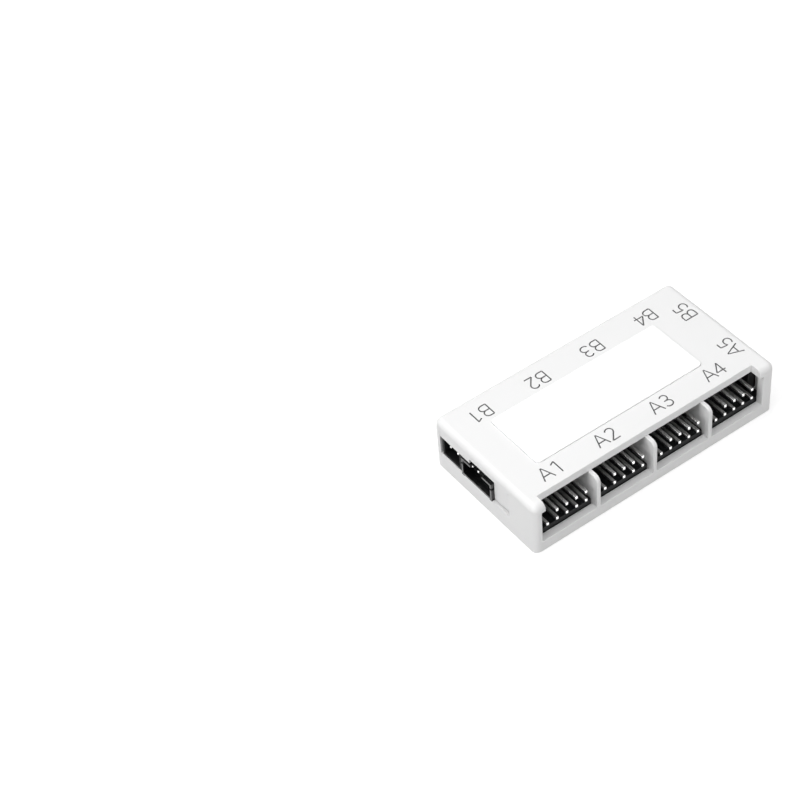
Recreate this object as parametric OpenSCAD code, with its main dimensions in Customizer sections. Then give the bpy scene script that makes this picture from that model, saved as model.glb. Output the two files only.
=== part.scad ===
// Internal hub for 9-pin headers: a flat two-part housing on a circuit board.
// Millimetres. Origin at the middle of the underside, X along the long side,
// the front ports face -Y, Z up.

/* [Housing] */
// Length of the housing
body_l = 65.4; // [58.8:0.1:74]
// Depth of the housing, front to back
body_d = 34; // [30.6:0.1:42]
// Thickness of the upright walls
wall_t = 1.75; // [1.2:0.05:1.8]
// Thickness of the tray's floor
floor_t = 1.2; // [0.8:0.1:2]
// Thickness of the top cover
cover_t = 2; // [1.8:0.1:3]
// Room from the circuit board up to the cover
head_room = 7.32; // [6.9:0.02:10]
// Radius of the rounded edges and upright corners
edge_r = 1.5; // [0.6:0.1:1.7]
// Clearance between pieces that slide together
fit = 0.05; // [0.02:0.01:0.08]

/* [Ports] */
// Width of the post between the left end and the row of ports
left_post = 1.965; // [1.8:0.005:2.2]
// Width of the post between the row of ports and the right end
right_post = 3.275; // [3.1:0.005:3.6]
// Pin places that one port takes up, with its divider
place_count = 6; // [6:1:7]
// Thickness of the dividers between ports
divider_t = 1; // [0.8:0.1:1.2]
// Height of the window sill above the underside
sill_h = 2.92; // [2:0.02:4]
// Spare room at each end of the row of ports
end_room = 0.1; // [0:0.05:0.2]
// How far the cover is set back along the front
set_back = 2.9; // [0.5:0.1:5]
// How far the cover's lips reach over each end of the window
lip_over = 1; // [0.2:0.1:2]

/* [Header] */
// Width of a square pin
pin_w = 0.64; // [0.5:0.02:0.66]
// Columns of pins
pin_columns = 5; // [3:1:5]
// Gap between the headers of the back and the data socket
base_gap = 0.08; // [0.05:0.01:0.3]
// Distance from the face of the housing back to the pin tips
tip_recess = 0.83; // [0.2:0.01:1.2]
// Height of the lower row above the board
row_rise = 1.6; // [1.5:0.05:1.9]
// Distance from the base back to the first row of tails
tail_gap = 1.5; // [1:0.1:1.6]
// Length of the tails below the board
tail_under = 0.9; // [0.4:0.1:1]

/* [Board] */
// Thickness of the circuit board
board_t = 1.6; // [1:0.1:1.6]
// Height of the bosses that the board stands on
boss_h = 1.48; // [1.4:0.02:3]
// Gap between the board's edge and the walls
board_gap = 0.15; // [0.05:0.05:0.3]
// Diameter of the board's holes for the pins of a header
pin_hole_d = 1; // [0.96:0.02:1.1]
// Diameter of the board's holes for the pins of the sockets
key_hole_d = 0.8; // [0.76:0.02:0.9]
// Distance of the two cover posts from the end walls
post_in = 4.95; // [4.8:0.05:6.5]
// Diameter of the cover posts
post_d = 3.6; // [3.2:0.1:4]
// Diameter of the pegs below the posts
peg_d = 2; // [1.4:0.1:2.2]

/* [Keyed socket] */
// Width of a 4-pin socket
key_w = 10.2; // [8.8:0.05:10.8]
// Height of a 4-pin socket, without its feet
key_h = 4.75; // [4.2:0.05:5]
// Depth of a 4-pin socket
key_d = 3.6; // [3.3:0.05:3.6]
// Distance between its pins
key_pitch = 2; // [1.8:0.05:2]
// Width of the gap in its top wall
key_gap = 3.95; // [2:0.05:4.5]
// How far the 4-pin socket stands out of the left end
key_out = 0.15; // [0:0.05:0.3]
// Place of the data socket along the left end
data_y = 2.35; // [1.7:0.05:2.6]

/* [Power socket] */
// Gap between the 2-pin socket and the data socket
power_gap = 0.55; // [0.2:0.05:1]
// Gap between the 2-pin socket and the back wall
power_side = 0.78; // [0.3:0.02:1]
// Gap between the 2-pin socket and the skirt above it
power_over = 0.2; // [0.05:0.05:0.6]
// How far the 2-pin socket sits inside the left end
power_in = 0.23; // [0.15:0.01:0.4]
// How far its pin tips sit inside it
power_tip_in = 0.55; // [0.4:0.01:0.9]
// Height of its pins above its underside
power_pin_rise = 3.1; // [2.5:0.01:3.6]
// Distance between its pins
power_pitch = 2.5; // [2:0.1:2.54]

/* [Left end] */
// Open room beside the data socket
open_side = 0.1; // [0.05:0.05:1]
// Distance from the opening to the inside of the back wall
open_back = 0.2; // [0:0.05:0.6]
// How far the long skirt reaches over the data socket
skirt_reach = 2.75; // [1:0.05:3]
// Gap between the sockets and the sill below them
end_gap = 0.05; // [0.02:0.01:0.2]
// How far the blank tab beside the sockets sits inside the left end
blank_in = 0.6; // [0.2:0.1:0.9]
// Width of the part of the opening that the blank tab closes
blank_w = 5.55; // [3:0.05:6]
// Gap below the blank tab
blank_gap = 0.3; // [0.05:0.05:0.4]
// Height of the cover's skirt above the data socket
skirt_short = 0.67; // [0.2:0.01:1.2]
// Height of the cover's skirt above the power socket
skirt_long = 1.82; // [0.8:0.02:2]
// Thickness of the skirt above the power socket
skirt_t = 0.7; // [0.5:0.05:0.74]

/* [Label plate] */
// Length of the bare label plate
label_l = 44.85; // [20:0.05:46]
// Width of the label plate
label_w = 16; // [8:0.1:17]
// Thickness of the label plate
label_t = 0.8; // [0.5:0.05:1]
// How far the plate stands above the cover
label_out = 0.3; // [0.1:0.05:0.4]
// Radius of the plate's corners
label_r = 1; // [0.5:0.1:2]
// Place of the plate's middle along the housing
label_x = -1.72; // [-4:0.02:2]
// Place of the plate's middle across the housing
label_y = 0.62; // [-0.5:0.02:1]

/* [Chips] */
// Width of a hub controller chip
chip_w = 4; // [3:0.1:4.2]
// Thickness of a hub controller chip
chip_h = 0.85; // [0.6:0.05:1.2]
// Diameter of a reservoir capacitor
cap_d = 4; // [3:0.1:4.2]
// Height of a reservoir capacitor
cap_h = 5.2; // [4:0.1:5.8]

/* [Hidden] */
$fn = 48;
// Ports in each long side
port_count = 4;
// A little more than flush, so that cuts run clean through
over = 1;
// Colours
shell_colour = "whitesmoke";
socket_colour = "#1c1c1e";
pin_colour = "#d9b45a";
board_colour = "#15181a";
// Heights of the stack, from the underside up
board_z = floor_t + boss_h;
board_top = board_z + board_t;
tray_h = board_top + head_room;
row_z = board_top + row_rise;
// Window in each long side, the ports that share it, and the cover's edge above the front one
window_w = body_l - left_post - right_post;
port_pitch = (window_w - 2 * end_room + divider_t) / port_count;
port_shift = (left_post - right_post) / 2;
bay_w = port_pitch - divider_t;
cover_cut_w = window_w - 2 * lip_over;
// Header base: one pitch deep, two high, with its pins in the middle of their squares.
// The back ones stand against the data socket, and their pins fill the rest of the depth.
pin_pitch = port_pitch / place_count;
base_w = pin_columns * pin_pitch;
base_h = 2 * pin_pitch;
base_y = -(data_y + key_w / 2 + base_gap + pin_pitch);
pin_reach = body_d / 2 + base_y - tip_recess;
divider_d = body_d / 2 + base_y - fit;
// Circuit board
board_l = body_l - 2 * (wall_t + board_gap);
board_d = body_d - 2 * (wall_t + board_gap);
slot_w = divider_t + 2 * board_gap;
boss_rim = 0.3;
boss_d = post_d + 2 * boss_rim;
rib_w = 1.2;
rib_l = 1.6;
rib_in = 4.9;
post_x = body_l / 2 - wall_t - post_in;
peg_hole_d = peg_d + 4 * fit;
boss_bore_d = peg_d + 2 * fit;
peg_floor = 0.6;
// Keyed sockets: thin walls round a pocket, and square pins bent down at the back
key_wall = 0.5;
key_back = 1.1;
key_pin_w = 0.5;
key_tip_in = 1.2;
foot_w = 0.8;
foot_h = 0.3;
key_z = board_top + foot_h;
key_pin_z = key_z + key_h * 0.6;
key_notch_w = 0.6;
key_notch_z = key_z + key_h * 0.62;
end_sill_h = key_z - end_gap;
side_y = port_pitch / 2;
side_room = 0.3;
side_w = key_w + 2 * side_room;
side_top = key_z + key_h + side_room;
// Power socket, in the room between the data socket, the back wall, the header beside it
// and the skirt above it
power_y0 = data_y + key_w / 2 + power_gap;
power_y1 = body_d / 2 - wall_t - power_side;
power_w = power_y1 - power_y0;
power_y = (power_y0 + power_y1) / 2;
power_d = left_post + end_room + (bay_w - base_w) / 2 - power_in - fit;
power_z = board_top + foot_h;
power_h = tray_h - skirt_long - power_over - power_z;
power_back = 0.7;
power_pin_w = 0.5;
power_pin_z = power_z + power_pin_rise;
// Opening of the left end, from the blank tab to the back
open_y0 = data_y - key_w / 2 - open_side;
blank_y0 = open_y0 - blank_w;
open_y1 = body_d / 2 - wall_t - open_back;
step_y = data_y + key_w / 2 - skirt_reach;
// Parts in the strip between the two rows of tails: chip, crystal, capacitor and again
crystal_l = 3.2;
crystal_w = 2.5;
crystal_h = 0.8;
fuse_l = 3.2;
fuse_w = 2.5;
fuse_h = 0.8;
part_gap = (port_pitch - chip_w - crystal_l - cap_d) / 3;
crystal_shift = chip_w / 2 + part_gap + crystal_l / 2;
cap_shift = crystal_shift + crystal_l / 2 + part_gap + cap_d / 2;
fuse_shift = -chip_w / 2 - part_gap / 2 - fuse_l / 2;

// Middle of port k of a long side
function port_x(k) = port_shift + (k - (port_count - 1) / 2) * port_pitch;
// Middle of the divider that follows port k
function divider_x(k) = port_x(k) + port_pitch / 2;
// Place of pin column i from the middle of its header
function column_x(i) = (i - (pin_columns - 1) / 2) * pin_pitch;
// Distance from the header's base to the tail of row r
function tail_y(r) = pin_pitch + tail_gap + r * pin_pitch;

// Rectangle with round corners about the origin
module round_rect(l, d, r) {
    square([l - 2 * r, d], center = true);
    square([l, d - 2 * r], center = true);
    for (x = [-1, 1], y = [-1, 1]) {
        translate([x * (l / 2 - r), y * (d / 2 - r)]) circle(r);
    }
}

// Slab with round upright corners and a round top edge, from z0 up to z1
module soft_slab(l, d, z0, z1, r) {
    translate([0, 0, z0]) linear_extrude(z1 - r - z0) round_rect(l, d, r);
    intersection() {
        translate([-l, -d, z0]) cube([2 * l, 2 * d, 2 * z1]);
        union() {
            translate([0, 0, z1 - 2 * r]) linear_extrude(2 * r)
                square([l - 2 * r, d - 2 * r], center = true);
            for (y = [-1, 1]) {
                translate([0, y * (d / 2 - r), z1 - r]) rotate([0, 90, 0])
                    cylinder(h = l - 2 * r, r = r, center = true);
            }
            for (x = [-1, 1]) {
                translate([x * (l / 2 - r), 0, z1 - r]) rotate([90, 0, 0])
                    cylinder(h = d - 2 * r, r = r, center = true);
            }
            for (x = [-1, 1], y = [-1, 1]) {
                translate([x * (l / 2 - r), y * (d / 2 - r), z1 - r]) sphere(r);
            }
        }
    }
}

// Side view of a divider, outer face at y = 0: its outer top corner has radius r
module divider_side(r) {
    difference() {
        square([divider_d, tray_h - floor_t]);
        if (r > 0) translate([-over, tray_h - floor_t - r]) square([r + over, r + over]);
    }
    if (r > 0) translate([r, tray_h - floor_t - r]) circle(r);
}

// Dividers of one long side, standing on the floor
module dividers(r) {
    for (k = [0 : port_count - 2]) {
        translate([divider_x(k) - divider_t / 2, -body_d / 2, floor_t])
            rotate([90, 0, 90]) linear_extrude(divider_t) divider_side(r);
    }
}

// Room in an end wall for the feet of a keyed socket
module foot_notches(x, y) {
    for (side = [-1, 1]) {
        translate([x - wall_t - over, y + side * (key_w - foot_w) / 2 - foot_w / 2 - fit, board_top])
            cube([2 * (wall_t + over), foot_w + 2 * fit, over]);
    }
}

// Notch in an end wall, open at the top
module end_notch(x, y0, y1, z0) {
    translate([x - wall_t - over, y0, z0]) cube([2 * (wall_t + over), y1 - y0, tray_h]);
}

module tray() {
    color(shell_colour) difference() {
        union() {
            tray_shell();
            dividers(edge_r);
            mirror([0, 1, 0]) dividers(0);
            bosses();
        }
        for (x = [-1, 1]) {
            translate([x * post_x, 0, peg_floor]) cylinder(h = tray_h, d = boss_bore_d);
        }
    }
}

// Box with open top, cut for the windows and the sockets
module tray_shell() {
    difference() {
        linear_extrude(tray_h) round_rect(body_l, body_d, edge_r);
        // Inner space
        translate([wall_t - body_l / 2, wall_t - body_d / 2, floor_t])
            cube([body_l - 2 * wall_t, body_d - 2 * wall_t, tray_h]);
        // Windows of both long sides
        translate([port_shift - window_w / 2, -body_d, sill_h])
            cube([window_w, 2 * body_d, tray_h]);
        // Openings of the left end and of the two ports in the right end
        end_notch(-body_l / 2, blank_y0, open_y1, end_sill_h);
        foot_notches(-body_l / 2, data_y);
        for (y = [-side_y, side_y]) {
            end_notch(body_l / 2, y - side_w / 2, y + side_w / 2, end_sill_h);
            foot_notches(body_l / 2, y);
        }
    }
}

// What carries the board: two bosses for the cover's pegs, and ribs on the long walls
module bosses() {
    for (x = [-1, 1]) {
        translate([x * post_x, 0, floor_t / 2]) cylinder(h = board_z - floor_t / 2, d = boss_d);
        for (y = [-1, 1]) {
            translate([
                x * (body_l / 2 - rib_in) - rib_w / 2,
                y * (body_d / 2 - wall_t - rib_l / 2) - rib_l / 2,
                floor_t / 2
            ]) cube([rib_w, rib_l, board_z - floor_t / 2]);
        }
    }
}

module cover() {
    color(shell_colour) {
        difference() {
            soft_slab(body_l, body_d, tray_h, tray_h + cover_t, edge_r);
            // Set back along the front, between the lips
            translate([port_shift - cover_cut_w / 2, -body_d, tray_h - over])
                cube([cover_cut_w, body_d / 2 + set_back, cover_t + 2 * over]);
            // Seat of the label plate
            translate([label_x, label_y, tray_h + cover_t + label_out - label_t])
                linear_extrude(label_t) round_rect(label_l + 2 * fit, label_w + 2 * fit, label_r + fit);
        }
        skirts();
        for (x = [-1, 1]) {
            translate([x * post_x, 0, board_top + fit]) cylinder(h = head_room - fit, d = post_d);
            translate([x * post_x, 0, peg_floor + 4 * fit])
                cylinder(h = board_top - peg_floor, d = peg_d);
        }
    }
}

// Skirts that close the end openings above their sockets, and the blank tab beside them
module skirts() {
    translate([blank_in - body_l / 2, blank_y0 + fit, end_sill_h + blank_gap])
        cube([wall_t - blank_in, blank_w - fit, tray_h - end_sill_h - blank_gap]);
    translate([-body_l / 2, blank_y0 + fit, tray_h - skirt_short])
        cube([skirt_t, step_y - blank_y0, skirt_short]);
    translate([-body_l / 2, step_y, tray_h - skirt_long])
        cube([skirt_t, open_y1 - fit - step_y, skirt_long]);
    for (y = [-1, 1]) {
        translate([body_l / 2 - wall_t, y * side_y - side_w / 2 + fit, side_top])
            cube([wall_t, side_w - 2 * fit, tray_h - side_top]);
    }
}

module label() {
    color("white") translate([label_x, label_y, tray_h + cover_t + label_out - label_t])
        linear_extrude(label_t) round_rect(label_l, label_w, label_r);
}

// Holes for the tails of one header whose front faces -Y
module header_holes() {
    for (r = [0, 1], i = [r : pin_columns - 1]) {
        translate([column_x(i), base_y + tail_y(r), board_z - over])
            cylinder(h = board_t + 2 * over, d = pin_hole_d, $fn = 24);
    }
}

// Holes for the tails of one keyed socket whose front faces -Y at y = 0
module key_holes() {
    for (i = [-1.5 : 1.5]) {
        translate([i * key_pitch, key_d - key_back / 2, board_z - over])
            cylinder(h = board_t + 2 * over, d = key_hole_d, $fn = 24);
    }
}

module board() {
    color(board_colour) difference() {
        translate([-board_l / 2, -board_d / 2, board_z]) cube([board_l, board_d, board_t]);
        // Slots for the dividers
        for (k = [0 : port_count - 2], y = [-1, 1]) {
            translate([divider_x(k) - slot_w / 2, y * body_d / 2 - divider_d - board_gap, board_z - over])
                cube([slot_w, 2 * (divider_d + board_gap), board_t + 2 * over]);
        }
        for (k = [0 : port_count - 1]) {
            translate([port_x(k), 0, 0]) header_holes();
            translate([port_x(k), 0, 0]) rotate(180) header_holes();
        }
        for (y = [-1, 1]) {
            translate([body_l / 2, y * side_y, 0]) rotate(90) key_holes();
        }
        translate([-body_l / 2 - key_out, data_y, 0]) rotate(-90) key_holes();
        for (i = [-0.5, 0.5]) {
            translate([power_tail_x(), power_y + i * power_pitch, board_z - over])
                cylinder(h = board_t + 2 * over, d = key_hole_d, $fn = 24);
        }
        for (x = [-1, 1]) {
            translate([x * post_x, 0, board_z - over]) cylinder(h = board_t + 2 * over, d = peg_hole_d);
        }
    }
}

// Side view of a bent pin: from y0 back to its tail at y1, and down to z_end, with its axis at z
module bent_side(y0, y1, z, z_end, w) {
    bend = w * 0.9;
    difference() {
        union() {
            translate([y0, z - w / 2]) square([y1 + w / 2 - y0, w]);
            translate([y1 - w / 2, z_end]) square([w, z + w / 2 - z_end]);
        }
        translate([y1 + w / 2 - bend, z + w / 2 - bend]) square([bend + over, bend + over]);
    }
    intersection() {
        translate([y1 + w / 2 - bend, z + w / 2 - bend]) circle(bend);
        translate([y1 + w / 2 - bend, z + w / 2 - bend]) square([bend, bend]);
    }
}

// Bent square pin, cut to a blunt point at its tip
module bent_pin(y0, y1, z, z_end, w) {
    point = w * 0.3;
    intersection() {
        translate([-w / 2, 0, 0]) rotate([90, 0, 90]) linear_extrude(w) bent_side(y0, y1, z, z_end, w);
        translate([0, 0, z_end - over]) linear_extrude(z - z_end + 2 * over) polygon([
            [-w / 2, y0 + point], [point - w / 2, y0], [w / 2 - point, y0], [w / 2, y0 + point],
            [w / 2, y1 + w], [-w / 2, y1 + w]
        ]);
        rotate([90, 0, 90]) translate([0, 0, -w]) linear_extrude(2 * w) polygon([
            [y0 + point, z + w / 2], [y0, z + w / 2 - point], [y0, z - w / 2 + point],
            [y0 + point, z - w / 2], [y1 - w, z - w / 2], [y1 - w, z_end], [y1 + w, z_end],
            [y1 + w, z + w / 2]
        ]);
    }
}

// Plastic base of a header whose front faces -Y: a comb of squares with cut corners
module header_base() {
    corner = 0.35;
    color(socket_colour) difference() {
        union() {
            for (i = [0 : pin_columns - 1]) {
                translate([column_x(i), base_y, row_z - pin_pitch / 2])
                    linear_extrude(base_h) polygon([
                        [-pin_pitch / 2, corner], [corner - pin_pitch / 2, 0],
                        [pin_pitch / 2 - corner, 0], [pin_pitch / 2, corner],
                        [pin_pitch / 2, pin_pitch - corner], [pin_pitch / 2 - corner, pin_pitch],
                        [corner - pin_pitch / 2, pin_pitch], [-pin_pitch / 2, pin_pitch - corner]
                    ]);
            }
        }
        for (r = [0, 1], i = [0 : pin_columns - 1]) {
            translate([column_x(i), base_y + pin_pitch / 2, row_z + r * pin_pitch])
                cube([pin_w + fit, 2 * pin_pitch, pin_w + fit], center = true);
        }
    }
}

// Nine pins of a header whose front faces -Y: the upper left one is left out
module header_pins() {
    tip_y = base_y - pin_reach;
    color(pin_colour) for (r = [0, 1], i = [r : pin_columns - 1]) {
        translate([column_x(i), 0, 0])
            bent_pin(tip_y, base_y + tail_y(r), row_z + r * pin_pitch, board_z - tail_under, pin_w);
    }
}

// Thin-walled 4-pin socket whose front faces -Y at y = 0
module keyed_socket() {
    inner_w = key_w - 2 * key_wall;
    color(socket_colour) difference() {
        union() {
            translate([-key_w / 2, 0, key_z]) cube([key_w, key_d, key_h]);
            for (x = [-1, 1]) {
                translate([x * (key_w - foot_w) / 2 - foot_w / 2, 0, board_top + fit])
                    cube([foot_w, key_d, foot_h]);
            }
        }
        // Pocket, and the gap in its top wall
        translate([-inner_w / 2, -over, key_z + key_wall])
            cube([inner_w, key_d - key_back + over, key_h - 2 * key_wall]);
        translate([-key_gap / 2, -over, key_z + key_h / 2])
            cube([key_gap, key_d - key_back + over, key_h]);
        // Notches in both side walls
        translate([-key_w, -over, key_notch_z])
            cube([2 * key_w, over + key_d / 3, key_notch_w]);
        // Channels that the pins are pressed into
        for (i = [-1.5 : 1.5]) {
            translate([i * key_pitch, 0, 0]) key_channel();
        }
    }
}

module key_channel() {
    w = key_pin_w + fit;
    tail = key_d - key_back / 2;
    translate([-w / 2, key_tip_in, key_pin_z - w / 2]) cube([w, tail + w / 2 - key_tip_in, w]);
    translate([-w / 2, tail - w / 2, board_top - over]) cube([w, w, key_pin_z + over - board_top]);
}

module keyed_pins() {
    color(pin_colour) for (i = [-1.5 : 1.5]) {
        translate([i * key_pitch, 0, 0]) bent_pin(
            key_tip_in, key_d - key_back / 2, key_pin_z, board_z - tail_under, key_pin_w
        );
    }
}

// Place of the power socket's tails, in the middle of its back wall
function power_tail_x() = power_in + power_d - power_back / 2 - body_l / 2;

// 2-pin socket in the left end, open at its front and top
module power_shell() {
    power_wall = 0.6;
    inner_w = power_w - 2 * power_wall;
    x0 = power_in - body_l / 2;
    w = power_pin_w + fit;
    color(socket_colour) difference() {
        union() {
            translate([x0, power_y - power_w / 2, power_z]) cube([power_d, power_w, power_h]);
            for (y = [-1, 1]) {
                translate([wall_t - body_l / 2 + fit, power_y + y * (power_w - foot_w) / 2 - foot_w / 2,
                    board_top + fit]) cube([power_in + power_d - wall_t - fit, foot_w, foot_h]);
            }
        }
        translate([x0 - over, power_y - inner_w / 2, power_z + power_wall])
            cube([over + power_d - power_back, inner_w, power_h]);
        for (i = [-0.5, 0.5]) {
            translate([x0, power_y + i * power_pitch - w / 2, power_pin_z - w / 2])
                cube([power_tail_x() + w / 2 - x0, w, w]);
            translate([power_tail_x() - w / 2, power_y + i * power_pitch - w / 2, board_top])
                cube([w, w, power_pin_z - board_top]);
        }
    }
}

module power_contacts() {
    color(pin_colour) for (i = [-0.5, 0.5]) {
        translate([power_in - body_l / 2, power_y + i * power_pitch, 0]) rotate(-90) bent_pin(
            power_tip_in, power_d - power_back / 2, power_pin_z, board_z - tail_under, power_pin_w
        );
    }
}

// Flat chip with a chamfered edge and a dot at its first contact
module chip(k) {
    edge = 0.12;
    color(socket_colour) translate([divider_x(k), 0, board_top]) difference() {
        union() {
            linear_extrude(chip_h - edge) square(chip_w, center = true);
            linear_extrude(chip_h) square(chip_w - 2 * edge, center = true);
        }
        translate([edge * 6 - chip_w / 2, edge * 6 - chip_w / 2, chip_h - edge / 2])
            cylinder(h = edge, d = 0.5);
    }
}

// Can of a crystal on its ceramic foot
module crystal(k) {
    translate([divider_x(k) + crystal_shift, 0, board_top]) {
        color("silver") linear_extrude(crystal_h) round_rect(crystal_l - 0.3, crystal_w - 0.3, 0.4);
        color("silver") linear_extrude(crystal_h / 2) round_rect(crystal_l, crystal_w, 0.2);
    }
}

// Round reservoir capacitor on a square foot
module capacitor(k) {
    translate([divider_x(k) + cap_shift, 0, board_top]) color("silver") {
        linear_extrude(cap_h / 8) square(cap_d, center = true);
        cylinder(h = cap_h, d = cap_d - 0.3);
    }
}

module fuse_chip() {
    color("#2f6b4a") translate([divider_x(0) + fuse_shift, 0, board_top])
        linear_extrude(fuse_h) square([fuse_l, fuse_w], center = true);
}

// Places for the pieces that are used more than once
module in_front(k) {
    translate([port_x(k), 0, 0]) children();
}
module in_back(k) {
    translate([port_x(k), 0, 0]) rotate(180) children();
}
module in_right_end(side) {
    translate([body_l / 2, side * side_y, 0]) rotate(90) children();
}
module in_left_end() {
    translate([-body_l / 2 - key_out, data_y, 0]) rotate(-90) children();
}

tray();  // bottom_tray
cover();  // top_cover
label();  // label_plate
board();  // circuit_board
in_front(0) header_base();  // header_base_a1
in_front(1) header_base();  // header_base_a2
in_front(2) header_base();  // header_base_a3
in_front(3) header_base();  // header_base_a4
in_front(0) header_pins();  // header_pins_a1
in_front(1) header_pins();  // header_pins_a2
in_front(2) header_pins();  // header_pins_a3
in_front(3) header_pins();  // header_pins_a4
in_back(0) header_base();  // header_base_b1
in_back(1) header_base();  // header_base_b2
in_back(2) header_base();  // header_base_b3
in_back(3) header_base();  // header_base_b4
in_back(0) header_pins();  // header_pins_b1
in_back(1) header_pins();  // header_pins_b2
in_back(2) header_pins();  // header_pins_b3
in_back(3) header_pins();  // header_pins_b4
in_right_end(-1) keyed_socket();  // end_socket_a5
in_right_end(-1) keyed_pins();  // end_pins_a5
in_right_end(1) keyed_socket();  // end_socket_b5
in_right_end(1) keyed_pins();  // end_pins_b5
in_left_end() keyed_socket();  // data_socket
in_left_end() keyed_pins();  // data_pins
power_shell();  // power_socket
power_contacts();  // power_pins
chip(0);  // hub_chip_1
chip(1);  // hub_chip_2
chip(2);  // hub_chip_3
crystal(0);  // crystal_1
crystal(1);  // crystal_2
crystal(2);  // crystal_3
capacitor(0);  // capacitor_1
capacitor(1);  // capacitor_2
fuse_chip();  // fuse
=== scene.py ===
"""Looks of an internal hub for 9-pin headers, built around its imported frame.

Sizes are in metres, in the frame's own place. Each operator makes one group of pieces.
"""

import math

import bpy
from mathutils import Matrix, Vector


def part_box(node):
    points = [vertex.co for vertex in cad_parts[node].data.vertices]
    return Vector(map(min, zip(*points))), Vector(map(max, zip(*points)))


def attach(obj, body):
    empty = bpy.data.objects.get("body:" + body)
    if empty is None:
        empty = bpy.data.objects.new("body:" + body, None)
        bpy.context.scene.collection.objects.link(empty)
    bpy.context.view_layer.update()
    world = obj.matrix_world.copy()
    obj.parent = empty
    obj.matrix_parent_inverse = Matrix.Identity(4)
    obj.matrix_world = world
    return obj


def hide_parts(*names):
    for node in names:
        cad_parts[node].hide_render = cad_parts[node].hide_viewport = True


bl_info = {
    "name": "Header hub",
    "version": (1, 0, 0),
    "blender": (4, 5, 0),
    "location": "3D View > Sidebar > Hub",
    "description": "Moulded shells, port marks, headers, sockets and finishes of a header hub",
    "category": "Add Mesh",
}

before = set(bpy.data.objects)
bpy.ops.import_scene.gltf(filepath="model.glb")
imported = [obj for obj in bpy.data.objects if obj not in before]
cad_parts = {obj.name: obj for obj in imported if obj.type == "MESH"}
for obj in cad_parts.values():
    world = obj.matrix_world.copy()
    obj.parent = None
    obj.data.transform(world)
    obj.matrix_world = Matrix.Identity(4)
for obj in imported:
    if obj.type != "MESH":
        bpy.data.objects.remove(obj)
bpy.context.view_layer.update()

MM = 0.001
BODY = "root"

COVER_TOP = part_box("top_cover")[1].z
ROW_SIDES = ("a", "b")
PORTS_PER_SIDE = 4
HEADER_NAMES = [f"{side}{k + 1}" for side in ROW_SIDES for k in range(PORTS_PER_SIDE)]
CHIP_COUNT = 3
CAPACITOR_COUNT = 2

# Height in which the port marks' strokes are drawn, in millimetres
CAP = 3.4

# Points of a CAD mesh closer than this are one
MERGE_GAP = 0.002 * MM
# Edges shorter than this are slivers left by a bevel or a cut
SLIVER = 0.001 * MM
# Faces that meet flatter than this are one, in degrees
FLAT_ANGLE = 0.5
# Edges sharper than this are rounded, in degrees
ROUND_ANGLE = 28
# Edges sharper than this stay crisp in the shading, in degrees
CRISP_ANGLE = 30
# How far behind the tip plane a pin's cut end reaches, and how much it must face outwards
CUT_END_REACH = 0.25 * MM
CUT_END_FACING = 0.3

# Soft square lamps, each with its power setting, its place and its width
LAMPS = (
    ("top_lamp", "top", (-0.1, 0.12, 0.8), 1.1),
    ("left_lamp", "left", (-0.8, 0.05, 0.45), 0.4),
    ("front_lamp", "front", (0.0, -0.8, 0.45), 0.4),
    ("back_lamp", "back", (0.1, 0.8, 0.6), 0.5),
)
FLOOR_WIDTH = 6.0
# Share of white that the floor adds where it is seen, so that the background comes out white
FLOOR_LIFT = 0.5
SENSOR_WIDTH = 36.0


class HubSizes(bpy.types.PropertyGroup):
    """Sizes that a user would change."""

    shell_edge: bpy.props.FloatProperty(
        name="Shell edge", description="Radius on the moulded edges of tray and cover",
        default=0.14 * MM, min=0.0, unit="LENGTH")
    plate_edge: bpy.props.FloatProperty(
        name="Plate edge", description="Radius on the rim of the label plate",
        default=0.12 * MM, min=0.0, unit="LENGTH")
    trim_edge: bpy.props.FloatProperty(
        name="Trim edge", description="Radius on headers and sockets",
        default=0.07 * MM, min=0.0, unit="LENGTH")
    pin_edge: bpy.props.FloatProperty(
        name="Pin edge", description="Radius on the edges of the pins",
        default=0.02 * MM, min=0.0, unit="LENGTH")
    mark_height: bpy.props.FloatProperty(
        name="Mark height", description="Height of the port marks",
        default=CAP * MM, min=1.0 * MM, unit="LENGTH")
    groove_width: bpy.props.FloatProperty(
        name="Groove width", description="Width of the engraved strokes",
        default=0.32 * MM, min=0.1 * MM, unit="LENGTH")
    groove_depth: bpy.props.FloatProperty(
        name="Groove depth", description="Depth of the engraved strokes",
        default=0.4 * MM, min=0.1 * MM, unit="LENGTH")


class HubColours(bpy.types.PropertyGroup):
    """Colours of the finishes, as sRGB hex values."""

    shell: bpy.props.StringProperty(
        name="Shell", description="White moulded ABS", default="#E6E6E6")
    label: bpy.props.StringProperty(
        name="Label plate", description="Bare glossy plate", default="#FAFAFA")
    nylon: bpy.props.StringProperty(
        name="Headers", description="Black glass-filled nylon", default="#050506")
    board: bpy.props.StringProperty(
        name="Board", description="Black solder mask", default="#141516")
    pins: bpy.props.StringProperty(
        name="Pins", description="Tin over brass", default="#BCBCBB")
    floor: bpy.props.StringProperty(
        name="Floor", description="Plain pale floor", default="#CCCCCC")
    # The pin tips' light colour is a painted highlight: the cut ends are drawn brighter than the
    # pins' own tin
    tip: bpy.props.StringProperty(
        name="Pin tips", description="Freshly cut bright ends", default="#F4F4F3")
    # The grey in the engraved strokes is painted shade, darker than the white plastic would show in
    # its grooves
    mark: bpy.props.StringProperty(
        name="Port marks", description="Grey paint in the engraved strokes", default="#7E7E7E")
    chip: bpy.props.StringProperty(
        name="Chips", description="Black moulding epoxy", default="#101011")
    can: bpy.props.StringProperty(
        name="Cans", description="Bare drawn aluminium", default="#D4D5D7")
    fuse: bpy.props.StringProperty(
        name="Fuse", description="Green polymer", default="#2E6B4B")


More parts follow.
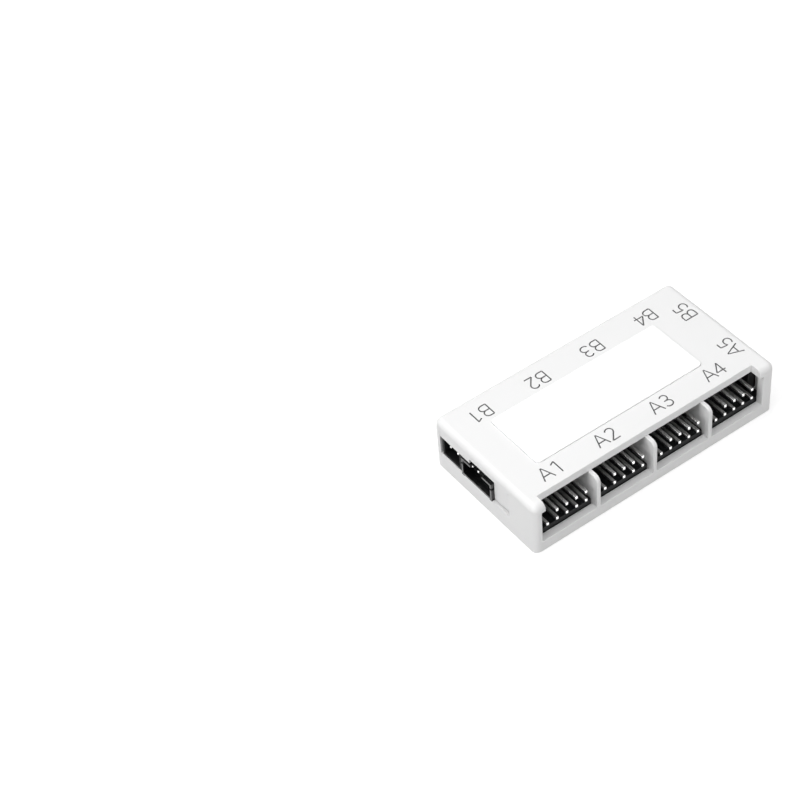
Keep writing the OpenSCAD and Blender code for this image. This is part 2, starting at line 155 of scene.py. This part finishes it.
class HubStage(bpy.types.PropertyGroup):
    """Camera and light."""

    camera_place: bpy.props.FloatVectorProperty(
        name="Camera place", description="Where the camera stands", subtype="TRANSLATION",
        default=(-0.1971, -0.2360, 0.3249))
    camera_turn: bpy.props.FloatVectorProperty(
        name="Camera turn", description="How the camera is turned", subtype="EULER",
        default=(0.77719, 0.07261, -0.62835))
    camera_lens: bpy.props.FloatProperty(
        name="Lens", description="Focal length on a 36 mm wide frame, in millimetres", default=92.9)
    top: bpy.props.FloatProperty(
        name="Top", description="Power of the soft lamp overhead", default=7.1, unit="POWER")
    left: bpy.props.FloatProperty(
        name="Left", description="Power of the soft lamp at the left", default=3.3, unit="POWER")
    front: bpy.props.FloatProperty(
        name="Front", description="Power of the soft lamp in front", default=2.9, unit="POWER")
    back: bpy.props.FloatProperty(
        name="Back", description="Power of the soft lamp behind", default=1.9, unit="POWER")


def deselect():
    """Leave nothing selected, in object mode."""
    if bpy.context.object and bpy.context.object.mode != "OBJECT":
        bpy.ops.object.mode_set(mode="OBJECT")
    bpy.ops.object.select_all(action="DESELECT")


def pick(piece):
    """Select one piece and make it active."""
    deselect()
    piece.select_set(True)
    bpy.context.view_layer.objects.active = piece


def settle(piece, node):
    """Ride the finished piece on the hub and let it stand for its CAD node, which is hidden."""
    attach(piece, BODY)
    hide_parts(node)


def linear(hex_colour):
    """An sRGB hex value as a linear colour."""
    parts = [int(hex_colour[i:i + 2], 16) / 255 for i in (1, 3, 5)]
    toned = [c / 12.92 if c <= 0.04045 else ((c + 0.055) / 1.055) ** 2.4 for c in parts]
    return (*toned, 1.0)


def add_node(tree, kind, sockets=None, links=None, **settings):
    """Add one node, set its own properties and its sockets, and link its inputs."""
    node = tree.nodes.new(kind)
    for name, value in settings.items():
        setattr(node, name, value)
    for name, value in (sockets or {}).items():
        node.inputs[name].default_value = value
    for name, source in (links or {}).items():
        tree.links.new(source, node.inputs[name])
    return node


def new_material(name):
    """An empty node material with its output."""
    material = bpy.data.materials.new(name)
    material.use_nodes = True
    material.node_tree.nodes.clear()
    output = add_node(material.node_tree, "ShaderNodeOutputMaterial")
    return material, material.node_tree, output


def grained(tree, coords, size, detail=2.0):
    """Noise whose grains are about size metres across."""
    return add_node(
        tree, "ShaderNodeTexNoise", {"Scale": 1.0 / size, "Detail": detail, "Roughness": 0.55},
        {"Vector": coords.outputs["Object"]})


def ranged(tree, source, low, high):
    """Spread a 0 to 1 value over a range."""
    return add_node(
        tree, "ShaderNodeMapRange", {"To Min": low, "To Max": high}, {"Value": source})


def moulded_abs(name, colour, roughness, grain, mottle):
    """Moulded ABS: the tool's fine spark texture breaks up its soft sheen."""
    material, tree, output = new_material(name)
    coords = add_node(tree, "ShaderNodeTexCoord")
    fine = grained(tree, coords, grain)
    broad = grained(tree, coords, 6.0 * MM)
    darker = tuple(c * mottle for c in colour[:3]) + (1.0,)
    tone = add_node(
        tree, "ShaderNodeMix", {"A": colour, "B": darker}, {"Factor": broad.outputs["Fac"]},
        data_type="RGBA")
    rough = ranged(tree, fine.outputs["Fac"], roughness - 0.05, roughness + 0.05)
    bump = add_node(
        tree, "ShaderNodeBump", {"Strength": 0.12, "Distance": 0.01 * MM},
        {"Height": fine.outputs["Fac"]})
    shader = add_node(
        tree, "ShaderNodeBsdfPrincipled", {"IOR": 1.53},
        {"Base Color": tone.outputs["Result"], "Roughness": rough.outputs["Result"],
         "Normal": bump.outputs["Normal"]})
    tree.links.new(shader.outputs["BSDF"], output.inputs["Surface"])
    return material


def glossy_plate(name, colour):
    """Bare label plate: white film under a clear gloss coat, with a faint orange peel."""
    material, tree, output = new_material(name)
    coords = add_node(tree, "ShaderNodeTexCoord")
    peel = grained(tree, coords, 1.2 * MM)
    rough = ranged(tree, peel.outputs["Fac"], 0.16, 0.24)
    bump = add_node(
        tree, "ShaderNodeBump", {"Strength": 0.05, "Distance": 0.01 * MM},
        {"Height": peel.outputs["Fac"]})
    shader = add_node(
        tree, "ShaderNodeBsdfPrincipled",
        {"Base Color": colour, "IOR": 1.5, "Coat Weight": 0.6, "Coat Roughness": 0.08},
        {"Roughness": rough.outputs["Result"], "Normal": bump.outputs["Normal"]})
    tree.links.new(shader.outputs["BSDF"], output.inputs["Surface"])
    return material


def solder_mask(name, colour):
    """Glass-fibre board under black solder mask: the weave shows as a faint grid in the gloss."""
    material, tree, output = new_material(name)
    coords = add_node(tree, "ShaderNodeTexCoord")
    # Glass cloth has a thread every 0.45 mm or so, drawn here at three times that so that it
    # shows. A wave texture of scale 1 has a band every tau / 20.
    bands = {"Scale": math.tau / 20 / (1.4137 * MM), "Distortion": 0.4}
    warp, weft = (
        add_node(tree, "ShaderNodeTexWave", bands, {"Vector": coords.outputs["Object"]},
                 bands_direction=way)
        for way in ("X", "Y"))
    cloth = add_node(
        tree, "ShaderNodeMath", {}, {0: warp.outputs["Fac"], 1: weft.outputs["Fac"]},
        operation="MULTIPLY")
    bump = add_node(
        tree, "ShaderNodeBump", {"Strength": 0.1, "Distance": 0.01 * MM},
        {"Height": cloth.outputs["Value"]})
    rough = ranged(tree, cloth.outputs["Value"], 0.3, 0.38)
    shader = add_node(
        tree, "ShaderNodeBsdfPrincipled",
        {"Base Color": colour, "IOR": 1.55, "Specular IOR Level": 0.3},
        {"Roughness": rough.outputs["Result"], "Normal": bump.outputs["Normal"]})
    tree.links.new(shader.outputs["BSDF"], output.inputs["Surface"])
    return material


def filled_nylon(name, colour, roughness, gloss, coat):
    """Black glass-filled nylon: short fibres under its skin dull it, unless resin covers them."""
    material, tree, output = new_material(name)
    coords = add_node(tree, "ShaderNodeTexCoord")
    fibre = grained(tree, coords, 0.2 * MM, 3.0)
    rough = ranged(tree, fibre.outputs["Fac"], roughness - 0.07, roughness + 0.07)
    bump = add_node(
        tree, "ShaderNodeBump", {"Strength": 0.2, "Distance": 0.01 * MM},
        {"Height": fibre.outputs["Fac"]})
    shader = add_node(
        tree, "ShaderNodeBsdfPrincipled",
        {"Base Color": colour, "IOR": 1.53, "Specular IOR Level": gloss, "Coat Weight": coat,
         "Coat Roughness": 0.15},
        {"Roughness": rough.outputs["Result"], "Normal": bump.outputs["Normal"]})
    tree.links.new(shader.outputs["BSDF"], output.inputs["Surface"])
    return material


def plated(name, colour, low, high):
    """Bright tin plate, drawn and cut: fine marks along the wire spread its reflections."""
    material, tree, output = new_material(name)
    coords = add_node(tree, "ShaderNodeTexCoord")
    # Drawing marks are a hundredth of a millimetre apart, drawn here at a tenth so that they show
    marks = grained(tree, coords, 0.1 * MM, 3.0)
    rough = ranged(tree, marks.outputs["Fac"], low, high)
    shader = add_node(
        tree, "ShaderNodeBsdfPrincipled", {"Base Color": colour, "Metallic": 1.0},
        {"Roughness": rough.outputs["Result"]})
    tree.links.new(shader.outputs["BSDF"], output.inputs["Surface"])
    return material


def where_seen(tree):
    """A value of 1 for what the camera sees, also in a reflection or through something."""
    path = add_node(tree, "ShaderNodeLightPath")
    seen = path.outputs["Is Camera Ray"]
    for kind in ("Is Glossy Ray", "Is Transmission Ray"):
        either = add_node(
            tree, "ShaderNodeMath", {}, {0: seen, 1: path.outputs[kind]}, operation="MAXIMUM")
        seen = either.outputs["Value"]
    return seen


def paint_tip_highlight(piece, axis, tip, material):
    """Give the cut ends that face out at the tip plane a material of their own, whose light colour
    is a painted highlight.
    """
    piece.data.materials.append(material)
    slot = len(piece.data.materials) - 1
    for face in piece.data.polygons:
        near = abs(face.center[axis] - tip) < CUT_END_REACH
        if near and abs(face.normal[axis]) > CUT_END_FACING:
            face.material_index = slot


def dress(piece, material):
    """Give the piece one material."""
    piece.data.materials.clear()
    piece.data.materials.append(material)
    return piece


def drop_slivers(piece):
    """Collapse the edges and faces that have next to no size."""
    pick(piece)
    bpy.ops.object.mode_set(mode="EDIT")
    bpy.ops.mesh.select_all(action="SELECT")
    bpy.ops.mesh.dissolve_degenerate(threshold=SLIVER)
    bpy.ops.object.mode_set(mode="OBJECT")


def even_shade(piece):
    """Smooth shading whose flat faces stay flat beside their rounded edges."""
    pick(piece)
    bpy.ops.object.shade_smooth_by_angle(angle=math.radians(CRISP_ANGLE))
    bpy.ops.object.modifier_add(type="WEIGHTED_NORMAL")
    weigh = piece.modifiers[-1]
    weigh.keep_sharp = True
    weigh.weight = 100
    bpy.ops.object.modifier_apply(modifier=weigh.name)


def soft_skin(name, node, width, segments=2):
    """A copy of a CAD node as one clean skin, with its sharp edges rounded."""
    piece = bpy.data.objects.new(name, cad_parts[node].data.copy())
    bpy.context.scene.collection.objects.link(piece)
    pick(piece)
    bpy.ops.object.mode_set(mode="EDIT")
    bpy.ops.mesh.select_all(action="SELECT")
    bpy.ops.mesh.remove_doubles(threshold=MERGE_GAP)
    bpy.ops.mesh.dissolve_limited(angle_limit=math.radians(FLAT_ANGLE))
    bpy.ops.mesh.normals_make_consistent(inside=False)
    bpy.ops.object.mode_set(mode="OBJECT")
    bpy.ops.object.modifier_add(type="BEVEL")
    bevel = piece.modifiers[-1]
    bevel.width = width
    bevel.segments = segments
    bevel.limit_method = "ANGLE"
    bevel.angle_limit = math.radians(ROUND_ANGLE)
    bevel.use_clamp_overlap = True
    bevel.miter_outer = "MITER_ARC"
    bpy.ops.object.modifier_apply(modifier=bevel.name)
    drop_slivers(piece)
    even_shade(piece)
    return piece


def arc(centre, rx, ry, start, end, steps=14):
    """Points along part of an ellipse, angles in degrees."""
    turns = [math.radians(start + (end - start) * i / steps) for i in range(steps + 1)]
    return [(centre[0] + rx * math.cos(t), centre[1] + ry * math.sin(t)) for t in turns]


# Single-stroke letters and figures, as lists of points from the lower left corner, in
# millimetres. A stroke ends at each sharp corner, because a curve's tube pinches there. Each has
# its width, and each letter the advance to the figure after it.
GLYPHS = {
    "A": {"strokes": [[(0, 0), (1.3, CAP), (1.46, CAP), (2.76, 0)], [(0.5, 1.18), (2.26, 1.18)]],
          "width": 2.76, "advance": 3.37},
    "B": {"strokes": [[(0, 0), (0, CAP)],
                      [(0, CAP), (0.95, CAP)] + arc((0.95, 2.54), 0.9, 0.86, 90, -90) + [(0, 1.68)],
                      [(0.95, 1.68)] + arc((1.15, 0.84), 0.92, 0.84, 90, -90) + [(0, 0)]],
          "width": 2.07, "advance": 2.78},
    "1": {"strokes": [[(0.22, 2.86), (1.28, CAP)], [(1.28, CAP), (1.28, 0)]], "width": 1.28},
    "2": {"strokes": [arc((0.95, 2.5), 0.92, 0.9, 158, -32) + [(0.05, 0)], [(0.05, 0), (2.0, 0)]],
          "width": 2.0},
    "3": {"strokes": [arc((0.92, 2.57), 0.86, 0.83, 150, -84) + [(0.45, 1.74)],
                      arc((0.95, 0.87), 1.0, 0.87, 84, -152)],
          "width": 1.95},
    "4": {"strokes": [[(1.43, 0), (1.43, CAP)], [(1.43, CAP), (-0.26, 0.98)],
                      [(-0.26, 0.98), (2.1, 0.98)]],
          "width": 2.1},
    "5": {"strokes": [[(1.62, CAP), (0.3, CAP)], [(0.3, CAP), (0.12, 1.86)],
                      [(0.12, 1.86)] + arc((0.92, 0.98), 0.98, 0.95, 138, -140)],
          "width": 1.9},
}

# The marks: text, middle of the baseline and how far it is turned, in millimetres and degrees
MARK_PITCH_A = 14.87
MARK_PITCH_B = 14.94
FIRST_MARK_A = (-23.6, -12.19)
FIRST_MARK_B = (-23.92, 13.2)
END_MARK_X = 30.45
END_MARK_Y = (-7.17, 7.4)
MARKS = (
    [(f"A{k + 1}", FIRST_MARK_A[0] + k * MARK_PITCH_A, FIRST_MARK_A[1], 0)
     for k in range(PORTS_PER_SIDE)]
    + [(f"B{k + 1}", FIRST_MARK_B[0] + k * MARK_PITCH_B, FIRST_MARK_B[1], 180)
       for k in range(PORTS_PER_SIDE)]
    + [("A5", END_MARK_X, END_MARK_Y[0], 90), ("B5", END_MARK_X, END_MARK_Y[1], 90)]
)


def mark_strokes(text):
    """Strokes of a two-letter mark, centred on the middle of its baseline."""
    first, second = GLYPHS[text[0]], GLYPHS[text[1]]
    shift = first["advance"]
    middle = (shift + second["width"]) / 2
    strokes = [[(x - middle, y) for x, y in stroke] for stroke in first["strokes"]]
    strokes += [[(x + shift - middle, y) for x, y in stroke] for stroke in second["strokes"]]
    return strokes


def groove_cutter(sizes):
    """One mesh of round-bottomed strokes that sinks all the marks into the cover."""
    curve = bpy.data.curves.new("mark_cutter", "CURVE")
    curve.dimensions = "3D"
    curve.bevel_depth = sizes.groove_width / 2
    curve.bevel_resolution = 2
    curve.use_fill_caps = True
    scale = sizes.mark_height / CAP
    for text, x, y, turn in MARKS:
        turned = Matrix.Rotation(math.radians(turn), 4, "Z")
        place = Matrix.Translation((x * MM, y * MM, 0)) @ turned
        for stroke in mark_strokes(text):
            spline = curve.splines.new("POLY")
            spline.points.add(len(stroke) - 1)
            for point, (u, v) in zip(spline.points, stroke):
                spot = place @ Vector((u * scale, v * scale, 0))
                point.co = (*spot, 1.0)
    cutter = bpy.data.objects.new("mark_cutter", curve)
    bpy.context.scene.collection.objects.link(cutter)
    pick(cutter)
    bpy.ops.object.convert(target="MESH")
    # Strokes are deeper than they are wide
    cutter.scale.z = 2 * sizes.groove_depth / sizes.groove_width
    cutter.location.z = COVER_TOP
    bpy.ops.object.transform_apply(location=True, rotation=True, scale=True)
    return cutter


class HUB_OT_shell(bpy.types.Operator):
    """Tray and cover with rounded moulded edges"""

    bl_idname = "hub.shell"
    bl_label = "Shell"

    def execute(self, context):
        sizes = context.scene.hub_sizes
        colour = linear(context.scene.hub_colours.shell)
        white = moulded_abs("white moulded ABS", colour, 0.48, 0.22 * MM, 0.985)
        for name, node in (("tray_skin", "bottom_tray"), ("cover_skin", "top_cover")):
            piece = dress(soft_skin(name, node, sizes.shell_edge), white)
            settle(piece, node)
        return {"FINISHED"}


class HUB_OT_marks(bpy.types.Operator):
    """Port marks engraved in the cover"""

    bl_idname = "hub.marks"
    bl_label = "Port marks"

    def execute(self, context):
        cover = bpy.data.objects["cover_skin"]
        cutter = groove_cutter(context.scene.hub_sizes)
        # The strokes get a grey that paints shade into the grooves
        colour = linear(context.scene.hub_colours.mark)
        dress(cutter, moulded_abs("paint in the marks", colour, 0.6, 0.2 * MM, 0.95))
        pick(cover)
        bpy.ops.object.modifier_add(type="BOOLEAN")
        cut = cover.modifiers[-1]
        cut.operation = "DIFFERENCE"
        cut.solver = "EXACT"
        cut.use_self = True
        cut.material_mode = "TRANSFER"
        cut.object = cutter
        before = len(cover.data.polygons)
        bpy.ops.object.modifier_apply(modifier=cut.name)
        if len(cover.data.polygons) <= before:
            raise RuntimeError("the port marks did not cut into the cover")
        bpy.data.objects.remove(cutter)
        drop_slivers(cover)
        even_shade(cover)
        return {"FINISHED"}


class HUB_OT_label(bpy.types.Operator):
    """Bare glossy label plate"""

    bl_idname = "hub.label"
    bl_label = "Label plate"

    def execute(self, context):
        gloss = glossy_plate("clear-coated label film", linear(context.scene.hub_colours.label))
        piece = soft_skin("label_skin", "label_plate", context.scene.hub_sizes.plate_edge, 3)
        settle(dress(piece, gloss), "label_plate")
        return {"FINISHED"}


class HUB_OT_headers(bpy.types.Operator):
    """Header bases and their square pins"""

    bl_idname = "hub.headers"
    bl_label = "Headers"

    def execute(self, context):
        sizes = context.scene.hub_sizes
        colours = context.scene.hub_colours
        nylon = filled_nylon("glass-filled nylon", linear(colours.nylon), 0.6, 0.2, 0.0)
        tin = plated("tin-plated brass", linear(colours.pins), 0.3, 0.38)
        # The cut ends get a lighter tin than the pins: a painted highlight where the ends face the
        # light
        cut = plated("cut and tinned end", linear(colours.tip), 0.3, 0.4)
        for name in HEADER_NAMES:
            base = soft_skin(f"base_skin_{name}", f"header_base_{name}", sizes.trim_edge, 1)
            settle(dress(base, nylon), f"header_base_{name}")
            node = f"header_pins_{name}"
            pins = dress(soft_skin(f"pin_skin_{name}", node, sizes.pin_edge, 1), tin)
            front = name[0] == ROW_SIDES[0]
            paint_tip_highlight(pins, 1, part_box(node)[0 if front else 1].y, cut)
            settle(pins, node)
        return {"FINISHED"}


class HUB_OT_sockets(bpy.types.Operator):
    """Sockets in both ends and their pins"""

    bl_idname = "hub.sockets"
    bl_label = "Sockets"

    def execute(self, context):
        sizes = context.scene.hub_sizes
        dull = bpy.data.materials["glass-filled nylon"]
        glossy = filled_nylon(
            "resin-rich nylon", linear(context.scene.hub_colours.nylon), 0.3, 0.5, 0.5)
        tin = bpy.data.materials["tin-plated brass"]
        # The socket pins' cut ends reuse the lighter tin: a painted highlight on their end faces
        cut = bpy.data.materials["cut and tinned end"]
        for socket, pins in (("data_socket", "data_pins"), ("power_socket", "power_pins"),
                             ("end_socket_a5", "end_pins_a5"), ("end_socket_b5", "end_pins_b5")):
            shell = soft_skin(f"{socket}_skin", socket, sizes.trim_edge)
            nylon = dull if socket == "power_socket" else glossy
            settle(dress(shell, nylon), socket)
            contacts = dress(soft_skin(f"{pins}_skin", pins, sizes.pin_edge, 1), tin)
            at_right = socket.startswith("end")
            paint_tip_highlight(contacts, 0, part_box(pins)[1 if at_right else 0].x, cut)
            settle(contacts, pins)
        return {"FINISHED"}


class HUB_OT_board(bpy.types.Operator):
    """Finishes of the board and of the parts on it"""

    bl_idname = "hub.board"
    bl_label = "Board"

    def execute(self, context):
        colours = context.scene.hub_colours
        mask = solder_mask("black solder mask", linear(colours.board))
        epoxy = filled_nylon("moulding epoxy", linear(colours.chip), 0.5, 0.3, 0.0)
        can = plated("drawn aluminium can", linear(colours.can), 0.3, 0.42)
        green = moulded_abs("fuse polymer", linear(colours.fuse), 0.4, 0.3 * MM, 0.9)
        finishes = {"circuit_board": mask, "fuse": green}
        for k in range(CHIP_COUNT):
            finishes[f"hub_chip_{k + 1}"] = epoxy
            finishes[f"crystal_{k + 1}"] = can
        for k in range(CAPACITOR_COUNT):
            finishes[f"capacitor_{k + 1}"] = can
        for node, material in finishes.items():
            dress(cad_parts[node], material)
        return {"FINISHED"}


class HUB_OT_stage(bpy.types.Operator):
    """Plain floor, soft light and the camera"""

    bl_idname = "hub.stage"
    bl_label = "Stage"

    def execute(self, context):
        stage = context.scene.hub_stage
        deselect()
        bpy.ops.mesh.primitive_plane_add(size=FLOOR_WIDTH, location=(0, 0, 0))
        floor = context.object
        floor.name = "floor"
        material, tree, output = new_material("matte paper floor")
        paper = add_node(
            tree, "ShaderNodeBsdfDiffuse", {"Color": linear(context.scene.hub_colours.floor)})
        lift = add_node(
            tree, "ShaderNodeMath", {1: FLOOR_LIFT}, {0: where_seen(tree)}, operation="MULTIPLY")
        glow = add_node(tree, "ShaderNodeEmission", {"Color": (1, 1, 1, 1)},
                        {"Strength": lift.outputs["Value"]})
        both = add_node(tree, "ShaderNodeAddShader", {},
                        {0: paper.outputs["BSDF"], 1: glow.outputs["Emission"]})
        tree.links.new(both.outputs["Shader"], output.inputs["Surface"])
        dress(floor, material)
        self.world(context)
        for name, setting, place, width in LAMPS:
            self.lamp(name, place, width, getattr(stage, setting))
        bpy.ops.object.camera_add(location=stage.camera_place, rotation=stage.camera_turn)
        camera = context.object
        camera.name = "camera"
        camera.data.sensor_width = SENSOR_WIDTH
        camera.data.lens = stage.camera_lens
        camera.data.clip_start = 0.01
        context.scene.camera = camera
        context.scene.view_settings.view_transform = "Standard"
        return {"FINISHED"}

    def world(self, context):
        """White to the camera and in reflections; the lamps alone light the hub."""
        world = bpy.data.worlds.new("studio")
        context.scene.world = world
        world.use_nodes = True
        tree = world.node_tree
        tree.nodes.clear()
        light = add_node(tree, "ShaderNodeBackground", {"Color": (1, 1, 1, 1)},
                         {"Strength": where_seen(tree)})
        add_node(tree, "ShaderNodeOutputWorld", {}, {"Surface": light.outputs["Background"]})

    def lamp(self, name, place, width, power):
        """A square soft lamp that looks at the hub."""
        bpy.ops.object.light_add(type="AREA", location=place)
        lamp = bpy.context.object
        lamp.name = name
        lamp.data.size = width
        lamp.data.energy = power
        aim = Vector((0, 0, 0)) - Vector(place)
        lamp.rotation_euler = aim.to_track_quat("-Z", "Y").to_euler()


class HUB_PT_panel(bpy.types.Panel):
    """Lists the operators in the order in which they build the hub"""

    bl_idname = "HUB_PT_panel"
    bl_label = "Header hub"
    bl_space_type = "VIEW_3D"
    bl_region_type = "UI"
    bl_category = "Hub"

    def draw(self, context):
        for step in STEPS:
            self.layout.operator(step.bl_idname)


STEPS = (HUB_OT_stage, HUB_OT_shell, HUB_OT_marks, HUB_OT_label, HUB_OT_headers, HUB_OT_sockets,
         HUB_OT_board)
GROUPS = (HubSizes, HubColours, HubStage)
CLASSES = GROUPS + STEPS + (HUB_PT_panel,)


def register():
    """Register the classes and hang the settings on the scene."""
    for cls in CLASSES:
        bpy.utils.register_class(cls)
    bpy.types.Scene.hub_sizes = bpy.props.PointerProperty(type=HubSizes)
    bpy.types.Scene.hub_colours = bpy.props.PointerProperty(type=HubColours)
    bpy.types.Scene.hub_stage = bpy.props.PointerProperty(type=HubStage)


def unregister():
    """Take the settings and classes away again."""
    del bpy.types.Scene.hub_stage
    del bpy.types.Scene.hub_colours
    del bpy.types.Scene.hub_sizes
    for cls in reversed(CLASSES):
        bpy.utils.unregister_class(cls)


def main():
    """Register the classes and build the hub."""
    register()
    for step in STEPS:
        group, action = step.bl_idname.split(".")
        getattr(getattr(bpy.ops, group), action)()


if __name__ == "__main__":
    main()
